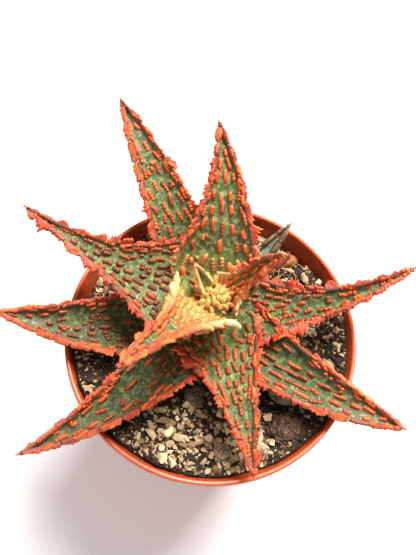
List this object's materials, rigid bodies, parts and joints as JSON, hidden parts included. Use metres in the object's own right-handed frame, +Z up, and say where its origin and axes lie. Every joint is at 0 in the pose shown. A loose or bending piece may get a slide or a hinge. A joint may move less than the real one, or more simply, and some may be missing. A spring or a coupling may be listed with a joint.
{
  "type": "potted aloe hybrid",
  "caption": "Small succulent rosette of broad, toothed, bumpy leaves growing in a round tapered plastic nursery pot filled with gritty compost.",
  "frame": {"origin": "middle of the pot's foot, on the surface it stands on", "axes": "+Z up along the pot's axis; -Y is the side the picture was taken from; +X is to its right"},
  "size_m": [0.0939, 0.0868, 0.1038],
  "materials": {
    "terracotta_plastic": "satin",
    "compost": "matte",
    "leaf": "satin",
    "young_leaf": "satin",
    "old_leaf": "satin",
    "stone_dark": "matte",
    "stone_pale": "matte",
    "stone_tan": "matte",
    "stone_brown": "matte"
  },
  "bodies": {
    "root": {"pot": "terracotta_plastic", "soil": "compost", "stem": "young_leaf", "leaf_heart": "young_leaf", "leaf_front_upright": "leaf", "leaf_right_upright": "leaf", "leaf_back": "leaf", "leaf_left_upper": "leaf", "leaf_front": "leaf", "leaf_right": "leaf", "leaf_back_left": "leaf", "leaf_front_left": "leaf", "leaf_front_right": "leaf", "leaf_left_low": "leaf", "leaf_small_old": "old_leaf", "stone_dark": "stone_dark", "stone_grey_flat": "stone_dark", "stone_white": "stone_pale", "stone_shard": "stone_pale", "stone_spotted": "stone_tan", "stone_tan": "stone_tan", "stone_cream": "stone_pale", "stone_orange": "stone_brown", "stone_block": "stone_tan"}
  },
  "joints": []
}
